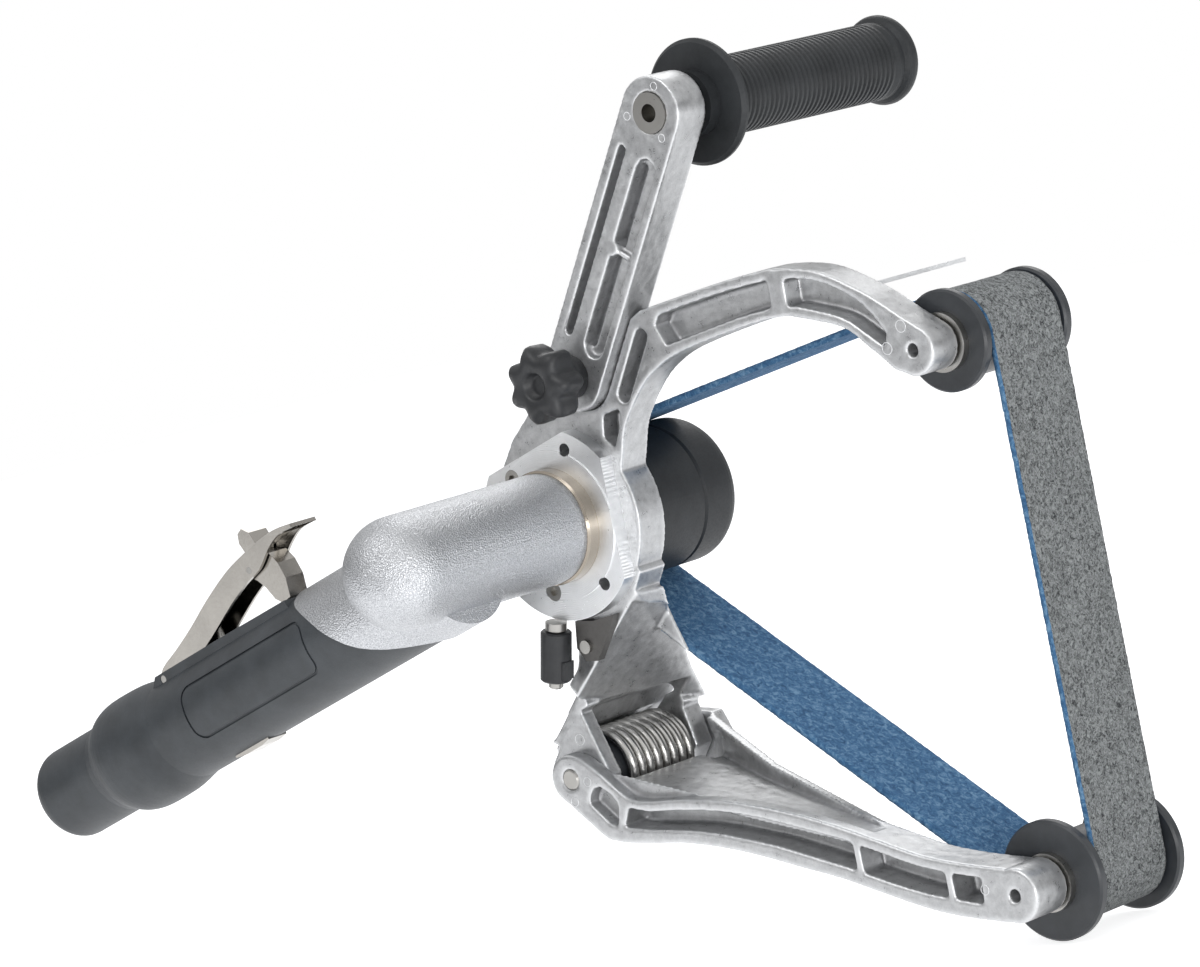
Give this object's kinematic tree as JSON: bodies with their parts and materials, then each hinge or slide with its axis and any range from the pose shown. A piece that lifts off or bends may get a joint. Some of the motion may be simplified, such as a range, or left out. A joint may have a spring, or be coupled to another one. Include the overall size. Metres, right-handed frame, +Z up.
{
  "type": "pneumatic pipe belt sander",
  "caption": "Air-powered belt sander for pipes and tubes: right-angle motor, cast frame, open belt over two nose rollers, sprung lower arm and side grip.",
  "frame": {"origin": "the spindle's axis on the near face of the mounting plate, at the centre of the three tapped holes", "axes": "+X towards the belt's front run, +Y along the spindle and the rollers away from the motor, +Z up along the front run"},
  "size_m": [0.4437, 0.2493, 0.3468],
  "materials": {
    "cast_aluminium": "tumbled die casting, bright rims",
    "machined_aluminium": "turned, near white",
    "blasted_aluminium": "shot-blasted, sparkly",
    "steel": "ground",
    "bright_plate": "nickel plated sheet",
    "nickel": "warm nickel",
    "bronze": "turned bronze",
    "vane_resin": "phenolic laminate",
    "black_plastic": "moulded, satin",
    "casing_composite": "glass-filled composite, fine grain",
    "roller_plastic": "moulded, satin",
    "black_rubber": "moulded",
    "belt": "nonwoven abrasive on blue backing"
  },
  "bodies": {
    "frame": {"main_frame": "cast_aluminium", "mounting_plate": "machined_aluminium", "plate_screws": "steel", "collar_ring": "nickel", "tracking_bracket": "cast_aluminium", "bracket_pin": "steel", "belt_guard": "cast_aluminium", "guard_screws": "steel", "hinge_pin": "steel", "spring_sleeve": "roller_plastic", "torsion_spring": "steel", "top_axle": "steel", "knob_stud": "steel", "gear_housing": "blasted_aluminium", "motor_casing": "casing_composite", "front_end_plate": "steel", "rear_end_plate": "steel", "motor_cylinder": "steel", "rotor_bearings": "steel", "spindle_bearings": "steel", "valve_seat": "bronze", "rear_collar": "casing_composite", "inlet_bushing": "steel", "inlet_screen": "bronze", "lever_pin": "steel", "casing_clip": "bright_plate", "abrasive_belt": "belt", "valve_spring": "steel"},
    "drive": {"spindle": "steel", "bevel_gear": "steel", "wheel_hub": "cast_aluminium", "drive_wheel": "black_rubber", "wheel_screw": "steel"},
    "rotor_set": {"rotor": "steel", "vanes": "vane_resin", "bevel_pinion": "steel"},
    "upper_roller": {"top_roller": "roller_plastic", "top_roller_bearings": "steel"},
    "lower_roller": {"bottom_roller": "roller_plastic", "bottom_roller_bearings": "steel"},
    "swing_arm": {"lower_arm": "cast_aluminium", "bottom_axle": "steel"},
    "handle": {"handle_arm": "cast_aluminium", "thread_insert": "steel", "grip_bolt": "steel", "grip_nut": "steel", "side_grip": "black_rubber"},
    "clamp_knob": {"star_knob": "black_plastic"},
    "tracking_knob": {"tracking_screw": "steel", "tracking_sleeve": "black_plastic"},
    "lever": {"throttle_lever": "bright_plate", "lock_off_pin": "steel"},
    "lock_off": {"lock_off_lever": "bright_plate"},
    "valve": {"throttle_valve": "steel"}
  },
  "joints": [
    {"name": "spindle_spin", "type": "hinge", "parent": "frame", "child": "drive", "pos_m": [0, 0, 0], "axis": [0, 1, 0], "continuous": true},
    {"name": "rotor_spin", "type": "hinge", "parent": "frame", "child": "rotor_set", "pos_m": [0, -0.062, 0], "axis": [-0.955, 0, -0.2965], "continuous": true},
    {"name": "top_roller_spin", "type": "hinge", "parent": "frame", "child": "upper_roller", "pos_m": [0.183, 0, 0.0467], "axis": [0, 1, 0], "continuous": true},
    {"name": "arm_hinge", "type": "hinge", "parent": "frame", "child": "swing_arm", "pos_m": [-0.0228, 0, -0.0987], "axis": [0, -1, 0], "range_deg": [0, 12], "stiffness_Nm_per_rad": 2.2, "springref_deg": -25.78, "deforming": ["abrasive_belt", "torsion_spring"]},
    {"name": "bottom_roller_spin", "type": "hinge", "parent": "swing_arm", "child": "lower_roller", "pos_m": [0.183, 0, -0.1533], "axis": [0, 1, 0], "continuous": true},
    {"name": "handle_swing", "type": "hinge", "parent": "frame", "child": "handle", "pos_m": [0.022, 0, 0.055], "axis": [0, -1, 0], "range_deg": [0, 60]},
    {"name": "knob_turn", "type": "hinge", "parent": "frame", "child": "clamp_knob", "pos_m": [0.022, 0, 0.055], "axis": [0, 1, 0], "continuous": true},
    {"name": "tracking_turn", "type": "hinge", "parent": "frame", "child": "tracking_knob", "pos_m": [-0.0098, 0, -0.0366], "axis": [-0.2664, 0, -0.9639], "continuous": true},
    {"name": "throttle_pull", "type": "hinge", "parent": "frame", "child": "lever", "pos_m": [-0.15313, -0.062, -0.03289], "axis": [0, 1, 0], "range_deg": [0, 7.5], "stiffness_Nm_per_rad": 0.4, "springref_deg": -14.32},
    {"name": "lock_off_swing", "type": "hinge", "parent": "lever", "child": "lock_off", "pos_m": [-0.09728, -0.062, 0.00508], "axis": [0, -1, 0], "range_deg": [0, 64]},
    {"name": "valve_lift", "type": "slide", "parent": "frame", "child": "valve", "axis": [0.2965, 0, -0.955], "range_m": [0, 0.0037], "deforming": ["valve_spring"]}
  ],
  "couplings": [
    {"joint": "rotor_spin", "follows": "spindle_spin", "ratio": -2},
    {"joint": "top_roller_spin", "follows": "spindle_spin", "ratio": 1.8562},
    {"joint": "bottom_roller_spin", "follows": "spindle_spin", "ratio": 1.8562},
    {"joint": "lock_off_swing", "follows": "throttle_pull", "ratio": 8.4},
    {"joint": "valve_lift", "follows": "throttle_pull", "m_per_rad": 0.026}
  ]
}
